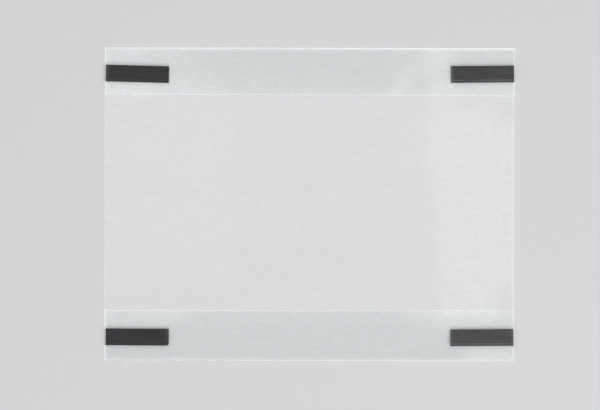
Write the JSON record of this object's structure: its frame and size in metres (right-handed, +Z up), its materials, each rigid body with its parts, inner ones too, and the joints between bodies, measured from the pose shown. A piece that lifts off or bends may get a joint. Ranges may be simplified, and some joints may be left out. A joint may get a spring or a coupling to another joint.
{
  "type": "magnetic document pocket",
  "caption": "Clear film sleeve for a landscape A4 sheet, folded back along both long sides, with flat magnet strips stuck to the folded-back flaps.",
  "frame": {"origin": "middle of the outer face of the front panel, which the pocket lies on", "axes": "+X along the folds towards the picture's right, +Y across them towards the picture's top, +Z up through the flaps to the magnets"},
  "size_m": [0.3006, 0.23, 0.0031],
  "materials": {
    "clear_film": "clear calendered film, glossy, with a faint haze",
    "flexible_magnet": "satin black, extruded, faint lengthwise streaks",
    "double_sided_tape": "matt, translucent"
  },
  "bodies": {
    "root": {"film_sleeve": "clear_film", "magnet_top_left": "flexible_magnet", "magnet_top_right": "flexible_magnet", "magnet_bottom_left": "flexible_magnet", "magnet_bottom_right": "flexible_magnet", "tape_top_left": "double_sided_tape", "tape_top_right": "double_sided_tape", "tape_bottom_left": "double_sided_tape", "tape_bottom_right": "double_sided_tape"}
  },
  "joints": []
}
